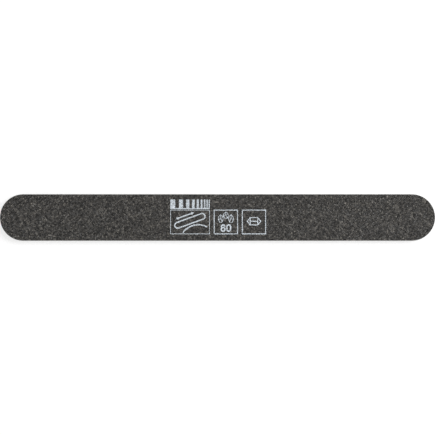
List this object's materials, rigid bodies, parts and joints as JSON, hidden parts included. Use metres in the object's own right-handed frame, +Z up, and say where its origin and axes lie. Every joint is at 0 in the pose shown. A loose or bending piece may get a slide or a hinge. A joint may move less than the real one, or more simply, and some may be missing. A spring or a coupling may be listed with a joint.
{
  "type": "sanding stick",
  "caption": "Flat round-ended sanding stick: coarse abrasive paper on both faces of a foam board with a stiff core, with printed marks on one face.",
  "frame": {"origin": "centre of the lower face, on the plane that the stick lies on", "axes": "+X along the stick's length, to the right when the print reads upright; +Y across its width, towards the top of the print; +Z up through the layers, out of the printed face"},
  "size_m": [0.178, 0.019, 0.004],
  "materials": {
    "abrasive_grit": "coarse silicon-carbide grains in resin, dark warm grey, rough with small glinting facets",
    "resin_coat": "dark cured phenolic resin, semi-matt",
    "backing_paper": "heavy latex-treated backing paper, dark, with a slightly fibrous cut edge",
    "adhesive_film": "translucent double-sided film, satin",
    "foam": "closed-cell foam with cut cells on its edge, matt mid grey",
    "styrene": "rigid off-white styrene sheet, satin cut edge",
    "ink": "screen-printed cool off-white ink, matt, broken up by the grit under it"
  },
  "bodies": {
    "root": {"grain_coat_lower": "abrasive_grit", "make_coat_lower": "resin_coat", "backing_paper_lower": "backing_paper", "paper_adhesive_lower": "adhesive_film", "foam_lower": "foam", "core_adhesive_lower": "adhesive_film", "core_sheet": "styrene", "core_adhesive_upper": "adhesive_film", "foam_upper": "foam", "paper_adhesive_upper": "adhesive_film", "backing_paper_upper": "backing_paper", "make_coat_upper": "resin_coat", "grain_coat_upper": "abrasive_grit", "ink_coarseness_scale": "ink", "ink_frame_left": "ink", "ink_frame_middle": "ink", "ink_frame_right": "ink", "ink_stick_outline": "ink", "ink_work_line": "ink", "ink_stroke_arrow": "ink", "ink_grain_left": "ink", "ink_grain_top": "ink", "ink_grain_right": "ink", "ink_digit_8": "ink", "ink_digit_0": "ink", "ink_crystal": "ink"}
  },
  "joints": []
}
